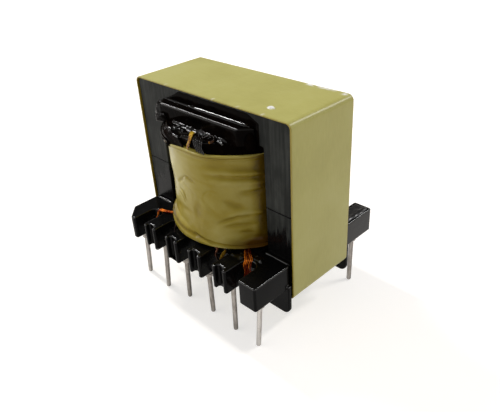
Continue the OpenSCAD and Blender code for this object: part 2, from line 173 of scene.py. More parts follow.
def noise_of(tree, scale, detail=4, roughness=0.55, distortion=0):
    return Value(add(tree, "TexNoise", {"Vector": place(tree, scale), "Scale": 1, "Detail": detail,
                                        "Roughness": roughness, "Distortion": distortion}), "Fac")


def mark(tree, name):
    """A value that the mesh carries at each point."""
    return Value(add(tree, "Attribute", attribute_name=name), "Fac")


def principled(name, slot, **constants):
    """A new material, with constants set on its shader. Its slot argument is not used."""
    mat = bpy.data.materials.new(name)
    mat.use_nodes = True
    for key, value in constants.items():
        mat.node_tree.nodes["Principled BSDF"].inputs[key].default_value = value
    return mat, mat.node_tree


def dress(mat, colour, relief, strength, distance, rough=None):
    """Links a material's colour, bump and, unless it is a constant, roughness."""
    tree = mat.node_tree
    normal = Value(add(tree, "Bump", {"Height": relief, "Strength": strength, "Distance": distance * MM}))
    for key, value in (("Base Color", colour), ("Normal", normal), ("Roughness", rough)):
        if value:
            tree.links.new(value.socket, tree.nodes["Principled BSDF"].inputs[key])
    return mat


def ferrite_material():
    """Sintered ferrite with grinding streaks, and dark varnish that ran up the lower legs and along the joint."""
    stain_reach, tongue_length, leg_x = 10.9, 15, 10.5
    heap_x, heap_height, heap_slope = -10.8, 5, 1.2  # the varnish stands higher beside the left leg's inner edge
    mat, tree = principled("ferrite", "ferrite", IOR=1.2)
    streaks = noise_of(tree, (2.2, 2.2, 0.07), 6, 0.65)
    blotch = noise_of(tree, (0.25, 0.25, 0.16), 3)
    grain = noise_of(tree, 9, 2)
    bare = ramp(streaks * 0.55 + blotch * 0.45, (0.34, (0.005, 0.0056, 0.005)), (0.48, (0.015, 0.0165, 0.015)),
                (0.66, (0.05, 0.053, 0.049)))
    axes = add(tree, "SeparateXYZ", {0: place(tree)})
    x, z = Value(axes, "X"), Value(axes, "Z")
    reach = noise_of(tree, (0.95, 0.6, 0.03), 3, 0.6) * tongue_length + stain_reach
    heaped = (abs(x - heap_x) * -heap_slope + heap_height).at_least(0)
    on_leg = ((abs(x) - leg_x) * 2).clamped()
    on_legs = ((reach + heaped - z) * 0.9).clamped() * on_leg
    ragged = noise_of(tree, (1.1, 1.1, 0), 3, 0.6) * 0.42
    on_joint = ((ragged - abs(z - JOINT)) * 9).clamped() * (x * 0.1).clamped().at_least(0.3)
    stain = on_legs.at_least(on_joint)
    colour = mix(stain * 0.95, bare, (0.0018, 0.0015, 0.0015))
    rough = streaks * 0.3 + 0.36 - stain * 0.28
    return dress(mat, colour, streaks * 0.6 + grain * 0.4, 0.35, 0.05, rough)


def phenolic_material(name, ior, polish):
    """Black moulding compound, a little cloudy in tone and gloss."""
    mat, tree = principled(name, "phenolic", IOR=ior)
    cloud, fine = noise_of(tree, 0.35), noise_of(tree, 7, 3)
    colour = ramp(cloud, (0.3, (0.002, 0.0018, 0.0017)), (0.55, (0.0034, 0.0034, 0.0036)),
                  (0.8, (0.0065, 0.0065, 0.007)))
    rough = ramp(cloud, (0.3, 0.13 * polish), (0.6, 0.2 * polish), (0.85, 0.3 * polish))
    return dress(mat, colour, cloud * 0.75 + fine * 0.25, 0.3, 0.06, rough)


def tape_material():
    """Pale yellow polyester tape, deeper by the tint mark at its cut edges, and whitened as painted highlight and made
    glossier by the glint mark.
    """
    mat, tree = principled("yellow_tape", "yellow_tape", IOR=1.42)
    broad, fibre = noise_of(tree, 0.11, 3), noise_of(tree, (0.6, 3.2, 0.6))
    face = ramp(broad * 0.7 + fibre * 0.3, (0.3, (0.385, 0.352, 0.092)), (0.5, (0.435, 0.405, 0.116)),
                (0.72, (0.47, 0.445, 0.15)))
    scuff = mark(tree, "scuff")
    # The glint mark whitens the tape as painted highlight and makes it glossier.
    colour = mix(scuff, mix(mark(tree, "tint"), face, (0.3, 0.215, 0.012)), (0.86, 0.85, 0.82))
    return dress(mat, colour, broad * 0.8 + fibre * 0.1, 0.25, 0.35, ramp(scuff, (0, 0.36), (1, 0.2)))


def wrap_material():
    """Tape round the coil: cream where it stands off the winding, amber where it is drawn tight, brown where soaked.
    Its tint and soak marks also carry painted shade and painted sheen.
    """
    mat, tree = principled("coil_tape", "yellow_tape", Roughness=0.25, IOR=1.22)
    cloud, fine = noise_of(tree, (0.22, 0.22, 0.3), 4, 0.6, 0.4), noise_of(tree, (1.6, 1.6, 2.4))
    face = ramp(mark(tree, "tint") + (cloud - 0.5) * 0.45, (0, (0.5, 0.455, 0.19)), (0.3, (0.43, 0.365, 0.105)),
                (0.6, (0.315, 0.245, 0.034)), (0.85, (0.215, 0.155, 0.012)), (1, (0.125, 0.088, 0.006)))
    colour = mix(mark(tree, "soak"), face, (0.085, 0.036, 0.002))
    return dress(mat, colour, cloud * 0.7 + fine * 0.3, 0.3, 0.25)


def varnish_material(name, ior, dullness=0):
    """Dark impregnating varnish: nearly black, and brown where it thins."""
    mat, tree = principled(name, "phenolic", IOR=ior)
    cloud = noise_of(tree, 0.9, 3)
    colour = ramp(cloud, (0.3, (0.0012, 0.001, 0.001)), (0.75, (0.0045, 0.0026, 0.0016)))
    return dress(mat, colour, cloud, 0.15, 0.12, ramp(cloud, (0.3, 0.06 + dullness), (0.8, 0.14 + dullness)))


def wire_material(name, dark, bright, rough, metallic, ior=1.4, slot="varnished_copper"):
    """Enamelled wire, whose tone wanders along it and darkens by the tint mark."""
    mat, tree = principled(name, slot, Metallic=metallic, IOR=ior)
    cloud = noise_of(tree, 1.3, 3)
    colour = ramp(cloud - mark(tree, "tint"), (0.3, dark), (0.65, bright))
    return dress(mat, colour, cloud, 0.1, 0.04, ramp(cloud, (0.3, rough), (0.7, rough + 0.12)))


def amber_material():
    """Amber insulation film, soaked and glossy."""
    mat, tree = principled("amber_tape", "amber_tape", Roughness=0.24, IOR=1.3)
    cloud = noise_of(tree, (1.5, 1.5, 1.1), 4, 0.65)
    colour = ramp(cloud - mark(tree, "tint"), (0.38, (0.045, 0.014, 0.002)), (0.5, (0.3, 0.125, 0.006)),
                  (0.66, (0.56, 0.36, 0.035)))
    return dress(mat, colour, cloud, 0.3, 0.1)


def tin_material():
    """Tin plate, drawn along the pin and darkened by the tint mark: each pin's own tone, and painted shade on one side
    of it.
    """
    mat, tree = principled("tinned_metal", "tinned_metal", Metallic=1)
    drawn, spots = noise_of(tree, (6, 6, 0.25)), noise_of(tree, (1.2, 1.2, 0.6))
    tone = drawn * 0.4 + spots * 0.6 - mark(tree, "tint") * 0.3
    colour = ramp(tone, (0.1, (0.07, 0.062, 0.055)), (0.3, (0.2, 0.18, 0.16)), (0.5, (0.34, 0.315, 0.29)),
                  (0.7, (0.5, 0.48, 0.455)))
    return dress(mat, colour, tone, 0.2, 0.05, ramp(tone, (0.3, 0.42), (0.7, 0.26)))


# The black materials reflect less than the real ones, so that they stay as dark over the pale floor as in the photo
FERRITE = ferrite_material()
PHENOLIC = phenolic_material("phenolic", 1.14, 1)
PHENOLIC_EDGE = phenolic_material("phenolic_edge", 1.5, 0.75)
TAPE = tape_material()
WRAP = wrap_material()
VARNISH = varnish_material("varnish", 1.16)
BEAD = varnish_material("varnish_bead", 1.5)
FILM = varnish_material("varnish_film", 1.07)
THICK = varnish_material("varnish_thick", 1.27)
DULL = varnish_material("varnish_dull", 1.02, 0.5)
HAZY = varnish_material("varnish_hazy", 1.55, 0.25)
COPPER = wire_material("enamelled_copper", (0.15, 0.014, 0.002), (0.98, 0.26, 0.02), 0.2, 0.6, 1.2, "enamelled_copper")
SOAKED = wire_material("soaked_copper", (0.01, 0.004, 0.002), (0.2, 0.055, 0.012), 0.16, 0.5)
DARK = wire_material("varnished_copper", (0.002, 0.0015, 0.0012), (0.008, 0.004, 0.0025), 0.1, 0, 1.12)
BARE = wire_material("glossy_strands", (0.002, 0.0015, 0.0012), (0.01, 0.006, 0.004), 0.08, 0, 1.45)
AMBER = amber_material()
TIN = tin_material()


# ---- mesh helpers

def finish_piece(name, mesh, mat, stands_for):
    obj = placed(name, mesh)
    mesh.materials.clear()
    mesh.materials.append(mat)
    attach(obj, "root")
    if stands_for:
        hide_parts(*stands_for)
    return obj


def piece(name, shape, mat, stands_for=(), sharp=50, **marks):
    """A mesh piece from points in millimetres and faces. A mark is a value at each point, which its material reads."""
    verts, faces = shape
    mesh = bpy.data.meshes.new(name)
    mesh.from_pydata((np.asarray(verts, float) * MM).tolist(), [], faces)
    mesh.update()
    for key, values in marks.items():
        mesh.attributes.new(key, "FLOAT", "POINT").data.foreach_set("value", np.asarray(values, np.float32))
    mesh.shade_smooth()
    mesh.set_sharp_from_angle(angle=radians(sharp))
    finish_piece(name, mesh, mat, stands_for)


def room(tree, edge, face, most):
    """How far a flat face runs back from one of its edges."""
    step, near = 0.06, 0.02
    loop = next(l for l in face.loops if l.edge == edge)
    a, b = loop.vert.co, loop.link_loop_next.vert.co
    inward = face.normal.cross(b - a).normalized()
    for s in np.arange(step, most, step):
        for t in (0.12, 0.5, 0.88):
            hit = tree.find_nearest(a.lerp(b, t) + inward * s, near)
            if hit[0] is None or hit[1].dot(face.normal) < 0.99:
                return s - step / 2
    return most


def bevelled(name, node, width, mat, edge_mat=None):
    """A copy of a CAD node with its sharp edges rounded, standing for that node. An edge between two plain corners is
    rounded more than the rest, as far as the faces beside it allow."""
    least, face_share, weld, flat, sharp_angle = 0.19, 0.42, 0.003, 0.6, 35
    bm = bmesh.new()
    bm.from_mesh(nodes[node].data)
    bmesh.ops.scale(bm, vec=(1 / MM,) * 3, verts=bm.verts)
    bmesh.ops.remove_doubles(bm, verts=bm.verts, dist=weld)
    bmesh.ops.dissolve_limit(bm, angle_limit=radians(flat), verts=bm.verts[:], edges=bm.edges[:])
    bm.normal_update()
    tree = BVHTree.FromBMesh(bm)
    weight = bm.edges.layers.float.new("bevel_weight_edge")
    sharp = {e for e in bm.edges if e.is_manifold and e.calc_face_angle() > radians(sharp_angle)}
    plain = {v for v in bm.verts if [e.is_convex for e in v.link_edges if e in sharp] == [True] * 3}
    for e in sharp:
        wide = 0
        if plain.issuperset(e.verts):
            wide = face_share * min(room(tree, e, f, width / face_share) for f in e.link_faces)
        e[weight] = min(width, max(wide, least)) / width
    mesh = bpy.data.meshes.new(name)
    bm.to_mesh(mesh)
    bm.free()
    mesh.shade_smooth()
    obj = finish_piece(name, mesh, mat, (node,))
    round_off = configure(obj.modifiers.new("round", "BEVEL"), limit_method="WEIGHT", offset_type="OFFSET", width=width,
                          segments=4, use_clamp_overlap=False, miter_outer="MITER_ARC")
    if edge_mat:
        mesh.materials.append(edge_mat)
        round_off.material = 1
    obj.modifiers.new("flat", "WEIGHTED_NORMAL").keep_sharp = True
    shaped = bpy.data.meshes.new_from_object(obj.evaluated_get(bpy.context.evaluated_depsgraph_get()))
    shaped.transform(Matrix.Scale(MM, 4))
    lo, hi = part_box(node)
    for v in shaped.vertices:
        v.co = [min(max(c, a), b) for c, a, b in zip(v.co, lo, hi)]
    for f in shaped.polygons:
        if not 0.1 < f.normal.z < 0.998:  # only edges that slope up are glossy
            f.material_index = 0
    obj.modifiers.clear()
    obj.data = shaped
    shaped.name = name
    return obj


def turned(faces):
    """The same faces seen from their other side."""
    return [f[::-1] for f in faces]


def loop_grid(rows, columns, closed_rows=False):
    """Quads of a grid of points whose columns close round."""
    faces = []
    for i in range(rows if closed_rows else rows - 1):
        a, b = i * columns, (i + 1) % rows * columns
        for j in range(columns):
            k = (j + 1) % columns
            faces.append((a + j, a + k, b + k, b + j))
    return faces


def capped_grid(rows, columns):
    """Faces of rows of points that close round, with a cap at each end."""
    return loop_grid(rows, columns) + [tuple(range(columns))[::-1], tuple(range((rows - 1) * columns, rows * columns))]


def shell(columns):
    """Closed thin solid between two grids of points, given as columns of pairs, front and rear."""
    nx, nt = len(columns), len(columns[0])
    n = nx * nt
    faces = []
    for i in range(nx - 1):
        for j in range(nt - 1):
            a, b = i * nt + j, (i + 1) * nt + j
            faces += [(a, b, b + 1, a + 1), (a + n, a + 1 + n, b + 1 + n, b + n)]
    rim = [i * nt for i in range(nx)] + [n - nt + j for j in range(1, nt)]
    rim += [i * nt + nt - 1 for i in range(nx - 2, -1, -1)] + list(range(nt - 2, 0, -1))
    faces += [(b, a, a + n, b + n) for a, b in zip(rim, rim[1:] + rim[:1])]
    return [pair[side] for side in (0, 1) for column in columns for pair in column], faces


def around(count):
    """Cosine and sine of equal steps round a circle."""
    return [(cos(2 * pi * k / count), sin(2 * pi * k / count)) for k in range(count)]


def directions(path):
    """Direction of a path at each of its points."""
    after, before = path[1:] + path[-1:], path[:1] + path[:-1]
    return [(a - b).normalized() for a, b in zip(after, before)]


def curve_points(points, steps):
    """Smooth path through points."""
    p = [Vector(q) for q in points]
    out = []
    for i in range(len(p) - 1):
        a, b, c, d = p[max(i - 1, 0)], p[i], p[i + 1], p[min(i + 2, len(p) - 1)]
        for k in range(steps):
            t = k / steps
            bend = (2 * a - 5 * b + 4 * c - d) * t * t + (3 * b - a - 3 * c + d) * t ** 3
            out.append(0.5 * (2 * b + (c - a) * t + bend))
    return out + [p[-1]]


def tube(path, radii, sides=10):
    """A closed round tube along a path, with a radius at each point."""
    verts, side = [], Vector((0.31, 0.83, 0.46))
    for p, radius, t in zip(path, radii, directions(path)):
        side = (side - t * side.dot(t)).normalized()
        other = t.cross(side)
        verts += [tuple(p + radius * (c * side + s * other)) for c, s in around(sides)]
    return verts, capped_grid(len(path), sides)


def strand(points, radius, steps=7, sides=10):
    path = curve_points(points, steps)
    return tube(path, [radius] * len(path), sides)


def join(shapes):
    verts, faces = [], []
    for v, f in shapes:
        faces += [tuple(i + len(verts) for i in face) for face in f]
        verts += v
    return verts, faces


# ---- bobbin and core

FILMED_FROM = 30.4  # above this height varnish covers the moulding
BACK_RAIL_Y, RAIL_END_X = 7.2, 15.9
bobbin = bevelled("bobbin_moulding", "bobbin", 0.3, PHENOLIC, PHENOLIC_EDGE)
bobbin.data.materials.append(FILM)
bobbin.data.materials.append(THICK)
for f in bobbin.data.polygons:
    x, y, z = f.center / MM
    if z > FILMED_FROM:
        f.material_index = 3 if f.material_index and z > COLLAR_TOP - 0.5 else 2
    elif y > BACK_RAIL_Y and x > RAIL_END_X and f.normal.x > 0.9:
        f.material_index = 3
bevelled("core_half_upper", "core_upper", 0.19, FERRITE)
bevelled("core_half_lower", "core_lower", 0.19, FERRITE)


# ---- tape round the core

NICKS = ((1.9, 0.05, 0.16), (6.9, 0.025, 0.2), (11.6, 0.05, 0.16), (-9, 0.02, 0.2))  # place, height, half width
# Rows of points across the tape, as shares of its half width: close together at the edges and at the blister
TAPE_ROWS = runs((-1, -0.94, 7), (-0.9, -0.78, 4), (-0.76, -0.53, 27), (-0.5, 0.9, 34), (0.93, 1, 5))


def tape_loop(thick):
    """Points and outward directions once round the tape."""
    radius, corner_steps, top_step, side_step = 1, 12, 0.2, 0.4
    top, low = tape_hi.z, core_lo.z - thick
    mid, half_z = (top + low) / 2, (top - low) / 2
    corners = []
    for cx, cz, start in ((1, 1, 0), (-1, 1, 90), (-1, -1, 180), (1, -1, 270)):
        centre = Vector((cx * (tape_hi.x - radius), 0, mid + cz * (half_z - radius)))
        for k in range(corner_steps + 1):
            a = radians(start + 90 * k / corner_steps)
            normal = Vector((cos(a), 0, sin(a)))
            corners.append((centre + normal * radius, normal))
    loop = []
    for (point, normal), (after, _) in zip(corners, corners[1:] + corners[:1]):
        loop.append((point, normal))
        gap = (after - point).length
        if gap > 1:
            count = int(gap / (top_step if normal.z > 0.9 else side_step))
            loop += [(point.lerp(after, k / count), normal) for k in range(1, count)]
    return loop


def tape_rise_and_glint(x, y):
    """Rise of the tape's top by a blister and by nicks at the front edge, and the share of painted highlight that
    whitens it over the blister and nicks, along the back edge and at the back right corner.
    """
    blister_x, blister_y, half_x, half_y, blister_height = 10.98, -4.08, 0.56, 0.42, 0.2
    blister = blister_height * ease(1.1, 0.7, hypot((x - blister_x) / half_x, (y - blister_y) / half_y))
    nick = sum(height * hump(x, at, width) for at, height, width in NICKS)
    nick *= np.interp(-y, [6.16, 6.26, 6.34], [0, 1, 0.7])
    # Painted highlight in dashes along the back edge, and at the back right corner.
    back_edge_glint = ease(8.2, 9, x) * ease(14.2, 13.2, x) * np.interp(y, [5.9, 6.2], [0, 1])
    back_edge_glint *= 0.55 + 1.3 * wander(x * 1.1, y * 1.5, 5)
    corner = hump(x, 15.6, 0.35) * hump(y, 6, 0.35)
    return blister + nick, max(min(1, 20 * blister), 14 * nick, back_edge_glint, corner)


def core_tape():
    """The tape's shape, its tint mark, and its glint mark: painted highlight that whitens it and makes it glossier."""
    thick = tape_hi.z - core_hi.z
    loop = tape_loop(thick)
    outer, inner, tint, scuff = [], [], [], []
    for v in TAPE_ROWS:
        edge = max(0, (abs(v) - 0.965) / 0.035)
        edge_tint = min(1, 0.6 * edge ** 2 + 0.2 * ease(0.92, 1, abs(v)))
        inner_row = []
        for point, normal in loop:
            x, _, z = point
            y = v * (tape_hi.y - 0.06) + 0.02 * edge * wander((x + z) * 0.5, v * 3, 3)
            lift = 0.012 * wander(x * 0.35, y * 0.35, z * 0.35) + 0.01 * wander(x * 0.9, y * 0.2, z * 0.9) - 0.03
            lift -= 0.025 * edge ** 2
            on_top, glint_share = normal.z > 0.9, 0
            if on_top:
                rise, glint_share = tape_rise_and_glint(x, y)
                lift += rise
            across = Vector((0, y, 0))
            outer.append(tuple(point + normal * lift + across))
            inner_row.append(tuple(point - normal * (thick - 0.015) + across))
            tint.append(edge_tint * (0.3 if on_top else 1))
            # Share of painted highlight, which whitens the tape and makes it glossier.
            scuff.append(min(1, max(0, glint_share)))
        inner = inner_row + inner
    faces = turned(loop_grid(2 * len(TAPE_ROWS), len(loop), closed_rows=True))
    return (outer + inner, faces), tint + [1] * len(inner), scuff + [0] * len(inner)


shape, tint, scuff = core_tape()
piece("core_tape_band", shape, TAPE, ("core_tape",), 60, tint=tint, scuff=scuff)


# ---- tape round the coil

# Creases seen on the front: points as angle from the front and height, then height of the fold and its half width
CREASES = [
    ([(8, 27.8), (23, 28.3), (35, 28.3), (47, 28.1), (62, 27.9)], -0.12, 0.55),
    ([(15, 27.2), (31, 27.5), (44, 27.4), (62, 27.2)], 0.13, 0.34),
    ([(14, 26.9), (27, 26.8), (38, 26.7), (49, 26.6), (62, 26.5)], -0.17, 0.42),
    ([(19, 26), (38, 26), (62, 25.7)], 0.11, 0.4),
    ([(42, 24.9), (52, 25), (62, 24.9)], 0.1, 0.28),
    ([(42, 24.2), (51, 24.2), (62, 24.5)], -0.12, 0.34),
    ([(-17, 23.3), (-8, 24.5), (-3, 25.3)], -0.11, 0.22),
    ([(-4, 25.4), (2, 25.3), (9, 25.1)], -0.11, 0.24),
    ([(-14, 22.5), (-9, 22.1), (-7, 21.6), (-5, 20.7)], -0.12, 0.13),
    ([(-17, 21.5), (-12, 21.3), (-9, 20.8), (-8, 20.2)], -0.12, 0.13),
    ([(-15, 22), (-10, 21.7), (-7.5, 21)], 0.08, 0.16),
    ([(12, 22.6), (9, 20.6), (7, 18.6)], -0.08, 0.6),
    ([(18, 21.8), (15, 20), (14, 18.2)], 0.05, 0.7),
    ([(32, 22.9), (40, 22.3), (49, 21.6)], -0.14, 0.46),
    ([(29, 19.3), (36, 20.3), (42, 20.8), (49, 21), (60, 20.8)], 0.16, 0.38),
    ([(26, 18.7), (34, 19.6), (42, 20.2), (52, 20.3)], -0.16, 0.3),
    ([(32, 18.4), (41, 18.7), (54, 18.8)], -0.17, 0.32),
    ([(43, 17.6), (54, 17.4)], -0.13, 0.32),
    ([(40, 16), (51, 16.6), (62, 16.3)], -0.1, 0.42),
    ([(-30, 18.2), (-18, 18.9), (2, 19.3)], -0.08, 0.6),
    ([(-32, 26.5), (-22, 25.2), (-14, 23)], 0.06, 0.55),
]
CREASE_DEPTH, NARROW_CREASE = 1.35, 0.3
# Paler patches of the wrap, a paler tone low in the middle and then three of painted sheen: share, angle and its half
# width, height and its half width
PALE_AND_SHEEN_PATCHES = [(0.1, 30, 16, 17.35, 1.4), (0.24, 54.5, 2.6, 18, 1.1), (0.15, 48, 6, 22.9, 0.9),
                (0.1, 38, 6, 16.9, 0.8)]
# Height of the lower rim's fold, and how gently the wrap draws in above it, at angles from the front
RIM_HEIGHT = ([-90, -89, -15, 2, 12, 22, 36, 89, 90], [1.3, 1.35, 1.2, 0.95, 0.72, 0.5, 0.36, 0.36, 1.3])
WAIST_SLOPE = ([-40, -6, 6, 20, 89, 90], [1.8, 1.5, 0.5, 0.4, 0.4, 1.4])
TOP_GROOVE, TOP_GROOVE_WIDTH = 0.42, 0.1  # below the wrap's upper edge
SEAM_FROM = 150  # from this angle the lumps of both sides blend, so that they meet at the back


def back_creases():
    """Creases for the side that the photo doesn't show."""
    draw = random.Random(5)
    creases = []
    for _ in range(16):
        a, h = draw.uniform(125, 225), draw.uniform(16.6, 29)
        tilt, length = draw.uniform(-2.2, 2.2), draw.uniform(8, 26)
        points = [(a - length, h - tilt), (a, h + draw.uniform(-0.4, 0.4)), (a + length, h + tilt)]
        creases.append((points, draw.choice((-1, 1, -1)) * draw.uniform(0.06, 0.14), draw.uniform(0.25, 0.6)))
    return creases


def crease_fold(points, height, width, angle, z):
    """Lift by one crease. One that ends on the front fades at both ends, and any other at its first end only."""
    front_end = 59
    p = np.array([(radians(a) * COIL_R, h) for a, h in points])
    mid = (points[0][0] + points[-1][0]) / 2
    arc = np.radians((angle - mid + 180) % 360 - 180 + mid) * COIL_R
    nearest, along = np.full_like(z, np.inf), np.zeros_like(z)
    for i, (dx, dz) in enumerate(np.diff(p, axis=0)):
        off_x, off_z = arc - p[i, 0], z - p[i, 1]
        t = np.clip((off_x * dx + off_z * dz) / (dx * dx + dz * dz), 0, 1)
        dist = np.hypot(off_x - t * dx, off_z - t * dz)
        along = np.where(dist < nearest, (i + t) / (len(p) - 1), along)
        nearest = np.minimum(dist, nearest)
    wide = width * (0.75 + 0.5 * np.sin(along * pi))
    if points[-1][0] > front_end:
        fade = ease(-0.05, 0.45, along)
    else:
        fade = np.sin(np.clip(along, 0.02, 0.98) * pi) ** 0.5
    return height * fade * np.exp(-(nearest / wide) ** 2)


def wrap_lumps(s, h):
    """Lift and tint by the wrap's small lumps and dents, at a place along its girth and a height."""
    warp = 1.1 * wander(s * 0.18, h * 0.2, 3)
    ridge = max(0, 1 - 5 * abs(wander(s * 0.16 + warp, h * 0.34 - warp, 14)))
    ridge *= max(0, wander(s * 0.12, h * 0.15, 21) + 0.25)
    lift = 0.05 * wander(s * 0.22, h * 0.3, 1) + 0.03 * wander(s * 0.6, h * 0.8, 5) - 0.07 * ridge
    # The tone wanders, and is darker in the dents: partly amber where the tape is drawn in, partly painted shade.
    return lift, 0.13 * wander(s * 0.3, h * 0.42, 9) + 0.14 * ridge


def wrap_surface(angle, z):
    """Outward lift of the wrap in millimetres, its tint and its soak mark, both partly painted shade, over grids of
    angle in degrees and height.
    """
    lift, tint = np.zeros_like(z), np.zeros_like(z)
    for points, height, width in CREASES + back_creases():
        fold = crease_fold(points, height, width, angle, z)
        lift += CREASE_DEPTH * fold
        # Valleys take a deeper tint, partly the tape's amber where it is drawn tight and partly painted shade in the
        # fold, most in narrow creases; ridges take a paler tint where the tape stands off.
        tint += np.where(fold < 0, -fold * (2.8 if width < NARROW_CREASE else 1.5), -fold * 1.1)
    arc, girth = np.radians(angle) * COIL_R, 2 * pi * COIL_R
    for at in np.ndindex(z.shape):
        share = 0.5 * max(0, abs(angle[at]) - SEAM_FROM) / (180 - SEAM_FROM)
        for s, part in ((arc[at], 1 - share), (arc[at] - copysign(girth, arc[at]), share)):
            if part:
                rise, tone = wrap_lumps(s, z[at])
                lift[at] += part * rise
                tint[at] += part * tone
    low, high = z - COIL_LOW, COIL_HIGH - z
    front = np.where(np.abs(angle) < 90, 1, 0)
    left = ease(18, -8, angle) * np.where(angle > -90, 1, 0)
    step = low * 1.3 / np.interp(angle, *RIM_HEIGHT)

    # Waist above the rim, middle, and the dent at the top where the wires cross
    drawn_in = ease(0.92, 0.92 + np.interp(angle, *WAIST_SLOPE), step) * ease(0.35, 1.1, high)
    lift -= (0.46 + 0.42 * left) * drawn_in
    lift -= (0.08 + 0.1 * left) * hump(low, 7, 3.2)
    lift -= 0.45 * hump(angle, 2, 11) * ease(1.6, 0.2, high)
    lift += 0.03 * hump(step, 0.6, 0.35) - 0.05 * hump(step, 1.5, 0.2)
    lift -= 0.1 * hump(high, TOP_GROOVE, TOP_GROOVE_WIDTH)

    # Deeper amber to the right, partly the tape's own tone and partly painted shade; deeper low in the middle and at
    # one spot low on the left; paler at the upper left as painted light; painted shade in the grooves and beside the
    # legs; paler patches, most of them painted sheen
    tint += 0.31 + 0.21 * ease(-20, 25, angle) * front
    tint -= 0.16 * ease(15, -35, angle) * front * ease(21, 27, z)
    tint += 0.22 * front * ease(26, 8, angle) * ease(22, 16.5, z)
    tint += 0.38 * hump(step, 1.45, 0.3) + 0.4 * hump(high, TOP_GROOVE, TOP_GROOVE_WIDTH)
    tint += 0.5 * ease(51, 60, np.abs(angle)) * front
    tint += 0.22 * hump(angle, -34, 6) * hump(low, 1.6, 1)
    for share, a, wide, h, tall in PALE_AND_SHEEN_PATCHES:
        tint -= share * front * hump(angle, a, wide) * hump(z, h, tall)

    # Soaked at the top left, where varnish ran over the rim; browner at the lower right corner; painted shade beside
    # the right leg
    soak = 0.75 * ease(24, 50, angle) * ease(1.9, 0.7, low)
    soak += 0.7 * ease(42, 58, angle) * ease(4.2, 1, low)
    # Painted shade along the wrap's right edge, beside the leg.
    soak = np.maximum(soak, 0.45 * ease(56.5, 60, angle))
    soak = np.maximum(soak, ease(-36, -30, angle) * ease(-13, -17, angle) * ease(0.75, 0.4, high))
    return lift, np.clip(tint, 0, 1), np.clip(front * soak, 0, 1)


def coil_wrap():
    """The wrap's shape, and its tint and soak marks, both partly painted shade. Its plan is a circle cut off flat
    beside the legs.
    """
    columns, blend = 440, 0.28
    heights = COIL_LOW + runs((0.12, 1.9, 32), (2.05, 14, 74), (14.12, 15.48, 16))
    angle, z = np.meshgrid(np.linspace(-180, 180, columns, endpoint=False), heights)
    lift, tint, soak = wrap_surface(angle, z)
    sine, cosine = np.sin(np.radians(angle[0])), np.cos(np.radians(angle[0]))

    def plan(radius, half):
        flat = half / np.maximum(np.abs(sine), 1e-6)
        return -blend * np.logaddexp(-radius / blend, -flat / blend)

    outer = plan(COIL_R - 0.03 + lift, COIL_X - 0.03 + 0.25 * np.minimum(lift, 0))
    inner = plan(COIL_R - 1.38, COIL_X - 0.4)
    lip = plan(COIL_R - 2.2, COIL_X - 1.6)
    first, last = outer[0], outer[-1]
    rings = [(inner, COIL_LOW + 0.05, 0.9, 0), (first - 0.12, COIL_LOW + 0.02, 0.8, soak[0]),
             (first - 0.03, COIL_LOW + 0.05, 0.7, soak[0]), *zip(outer, heights, tint, soak),
             (last - 0.04, COIL_HIGH - 0.04, 0.3, 0), (last - 0.14, COIL_HIGH - 0.01, 0.45, 0),
             (lip, COIL_HIGH - 0.01, 0.85, 0), (lip, COIL_HIGH - 0.22, 0.6, 0), (inner, COIL_HIGH - 0.22, 0.8, 0)]
    verts = [np.stack([r * sine, -r * cosine, np.full(columns, h)], 1) for r, h, _, _ in rings]
    tints, soaks = ([np.broadcast_to(ring[k], columns) for ring in rings] for k in (2, 3))
    faces = loop_grid(len(rings), columns, closed_rows=True)
    return (np.concatenate(verts), faces), np.concatenate(tints), np.concatenate(soaks)


shape, tint, soak = coil_wrap()
piece("coil_wrap", shape, WRAP, ("outer_wrap",), 70, tint=tint, soak=soak)


# ---- pins

# Pins in order: how far the tip leans to the right and to the back, and how much darker the pin is than the rest
PINS = [(-1.1, 0.16, -0.1), (-0.52, -0.37, 0.15), (-1.09, 0.41, 0.4), (-0.71, 0.57, 0.35), (-0.37, 0.1, 0.2),
        (-0.85, 0.02, -0.75), (0.02, -0.24, 0.2), (-0.2, 0.15, 0), (0.3, 0, 0), (-0.1, -0.1, 0), (0.25, 0.1, 0),
        (-0.3, 0, 0)]
PIN_STRAIGHT_FROM, PIN_SIDES = 9.6, 20
PIN_PROFILE = [(0, 0.18), (0.03, 0.25), (0.1, 0.34), (0.22, 0.385), (1, 0.395), (2.2, 0.4), (3.6, 0.4),
               (5, 0.4), (6.4, 0.4), (7.6, 0.4), (8.6, 0.41), (9.6, 0.42), (10.6, 0.42),
               (box_mm("pin_1")[1].z, 0.42)]  # height and radius
for k, (dx, dy, dark) in enumerate(PINS, 1):
    node = "pin_%d" % k
    centre = middle(node)
    path, pin_tone_and_shade = [], []
    for h, _ in PIN_PROFILE:
        lean = max(0, 1 - h / PIN_STRAIGHT_FROM) ** 1.15
        path.append(Vector((centre.x + dx * lean, centre.y + dy * lean, h)))
    verts, faces = tube(path, [radius for _, radius in PIN_PROFILE], PIN_SIDES)
    # Each pin's own tone, and painted shade that darkens its right and back half.
    for i, v in enumerate(verts):
        off = Vector(v) - path[i // PIN_SIDES]
        pin_tone_and_shade.append(dark + 0.9 * ease(0.05, 0.38, 0.7 * (off.x + off.y)))
    piece("pin_wire_%d" % k, (verts, faces), TIN, (node,), tint=pin_tone_and_shade)


# ---- leads through the slots

